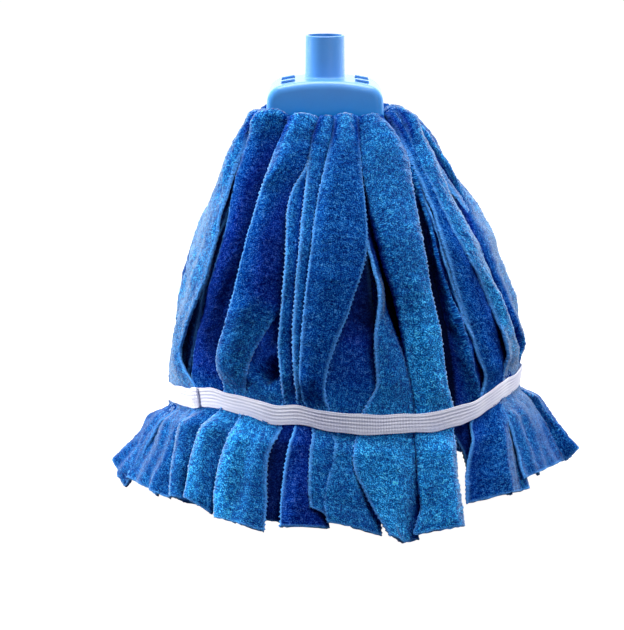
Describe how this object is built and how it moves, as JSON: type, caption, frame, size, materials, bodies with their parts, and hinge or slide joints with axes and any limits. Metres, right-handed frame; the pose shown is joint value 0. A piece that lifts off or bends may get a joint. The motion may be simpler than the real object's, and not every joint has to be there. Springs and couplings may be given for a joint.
{
  "type": "mop head",
  "caption": "Microfibre strip mop head with a moulded handle socket, terry strips hanging in a bell shape and a woven elastic band holding their lower part.",
  "frame": {"origin": "centre of the handle socket's mouth, on the bore's axis", "axes": "+Z along the bore out of its mouth, towards the handle; +X to the right and -Y towards the viewer in the reference view"},
  "size_m": [0.3536, 0.3205, 0.346],
  "materials": {
    "socket_plastic": "light blue moulded polypropylene, satin",
    "retainer_plastic": "light blue moulded polypropylene, satin",
    "microfibre": "royal blue microfibre terry with cut, slightly frayed edges",
    "elastic_webbing": "white ribbed woven elastic",
    "tape_fabric": "white woven binding tape",
    "sewing_thread": "white polyester sewing thread"
  },
  "bodies": {
    "head": {"handle_socket": "socket_plastic", "socket_hood": "socket_plastic", "strip_retainer": "retainer_plastic", "header_tape": "tape_fabric", "header_stitching": "sewing_thread", "outer_strip_01": "microfibre", "outer_strip_02": "microfibre", "outer_strip_03": "microfibre", "outer_strip_04": "microfibre", "outer_strip_05": "microfibre", "outer_strip_06": "microfibre", "outer_strip_07": "microfibre", "outer_strip_08": "microfibre", "outer_strip_09": "microfibre", "outer_strip_10": "microfibre", "outer_strip_11": "microfibre", "outer_strip_12": "microfibre", "outer_strip_13": "microfibre", "outer_strip_14": "microfibre", "inner_strip_01": "microfibre", "inner_strip_02": "microfibre", "inner_strip_03": "microfibre", "inner_strip_04": "microfibre", "inner_strip_05": "microfibre", "inner_strip_06": "microfibre", "inner_strip_07": "microfibre", "inner_strip_08": "microfibre", "inner_strip_09": "microfibre", "inner_strip_10": "microfibre", "inner_strip_11": "microfibre", "inner_strip_12": "microfibre", "inner_strip_13": "microfibre", "inner_strip_14": "microfibre", "inner_strip_15": "microfibre"},
    "band": {"elastic_band": "elastic_webbing", "band_seam_stitching": "sewing_thread"},
    "tail_01": {"outer_strip_01_tail": "microfibre"},
    "tail_02": {"outer_strip_02_tail": "microfibre"},
    "tail_03": {"outer_strip_03_tail": "microfibre"},
    "tail_04": {"outer_strip_04_tail": "microfibre"},
    "tail_05": {"outer_strip_05_tail": "microfibre"},
    "tail_06": {"outer_strip_06_tail": "microfibre"},
    "tail_07": {"outer_strip_07_tail": "microfibre"},
    "tail_08": {"outer_strip_08_tail": "microfibre"},
    "tail_09": {"outer_strip_09_tail": "microfibre"},
    "tail_10": {"outer_strip_10_tail": "microfibre"},
    "tail_11": {"outer_strip_11_tail": "microfibre"},
    "tail_12": {"outer_strip_12_tail": "microfibre"},
    "tail_13": {"outer_strip_13_tail": "microfibre"},
    "tail_14": {"outer_strip_14_tail": "microfibre"}
  },
  "joints": [
    {"name": "band_lift", "type": "slide", "parent": "head", "child": "band", "axis": [0, 0, 1], "range_m": [0, 0.29]},
    {"name": "tail_01_bend", "type": "hinge", "parent": "head", "child": "tail_01", "pos_m": [-0.10904, -0.04515, -0.28257], "axis": [-0.342, 0.9397, 0], "range_deg": [-12, 40], "stiffness_Nm_per_rad": 0.03},
    {"name": "tail_02_bend", "type": "hinge", "parent": "head", "child": "tail_02", "pos_m": [-0.07333, -0.0981, -0.28111], "axis": [-0.7431, 0.6691, 0], "range_deg": [-12, 40], "stiffness_Nm_per_rad": 0.03},
    {"name": "tail_03_bend", "type": "hinge", "parent": "head", "child": "tail_03", "pos_m": [-0.01244, -0.12912, -0.27862], "axis": [-0.9781, 0.2079, 0], "range_deg": [-12, 40], "stiffness_Nm_per_rad": 0.03},
    {"name": "tail_04_bend", "type": "hinge", "parent": "head", "child": "tail_04", "pos_m": [0.04312, -0.12897, -0.27635], "axis": [-0.977, -0.213, 0], "range_deg": [-12, 40], "stiffness_Nm_per_rad": 0.03},
    {"name": "tail_05_bend", "type": "hinge", "parent": "head", "child": "tail_05", "pos_m": [0.07656, -0.11676, -0.27499], "axis": [-0.8846, -0.4664, 0], "range_deg": [-12, 40], "stiffness_Nm_per_rad": 0.03},
    {"name": "tail_06_bend", "type": "hinge", "parent": "head", "child": "tail_06", "pos_m": [0.12443, -0.07381, -0.27303], "axis": [-0.5592, -0.829, 0], "range_deg": [-12, 40], "stiffness_Nm_per_rad": 0.03},
    {"name": "tail_07_bend", "type": "hinge", "parent": "head", "child": "tail_07", "pos_m": [0.145, -0.02292, -0.27219], "axis": [-0.1736, -0.9848, 0], "range_deg": [-12, 40], "stiffness_Nm_per_rad": 0.03},
    {"name": "tail_08_bend", "type": "hinge", "parent": "head", "child": "tail_08", "pos_m": [0.14189, 0.03638, -0.27232], "axis": [0.2756, -0.9613, 0], "range_deg": [-12, 40], "stiffness_Nm_per_rad": 0.03},
    {"name": "tail_09_bend", "type": "hinge", "parent": "head", "child": "tail_09", "pos_m": [0.11232, 0.08918, -0.27353], "axis": [0.6756, -0.7373, 0], "range_deg": [-12, 40], "stiffness_Nm_per_rad": 0.03},
    {"name": "tail_10_bend", "type": "hinge", "parent": "head", "child": "tail_10", "pos_m": [0.06273, 0.12307, -0.27555], "axis": [0.9323, -0.3616, 0], "range_deg": [-12, 40], "stiffness_Nm_per_rad": 0.03},
    {"name": "tail_11_bend", "type": "hinge", "parent": "head", "child": "tail_11", "pos_m": [0.00349, 0.1315, -0.27797], "axis": [0.9962, 0.0872, 0], "range_deg": [-12, 40], "stiffness_Nm_per_rad": 0.03},
    {"name": "tail_12_bend", "type": "hinge", "parent": "head", "child": "tail_12", "pos_m": [-0.05298, 0.11315, -0.28028], "axis": [0.8572, 0.515, 0], "range_deg": [-12, 40], "stiffness_Nm_per_rad": 0.03},
    {"name": "tail_13_bend", "type": "hinge", "parent": "head", "child": "tail_13", "pos_m": [-0.09633, 0.07092, -0.28205], "axis": [0.5373, 0.8434, 0], "range_deg": [-12, 40], "stiffness_Nm_per_rad": 0.03},
    {"name": "tail_14_bend", "type": "hinge", "parent": "head", "child": "tail_14", "pos_m": [-0.11623, 0.01426, -0.28286], "axis": [0.108, 0.9942, 0], "range_deg": [-12, 40], "stiffness_Nm_per_rad": 0.03}
  ]
}
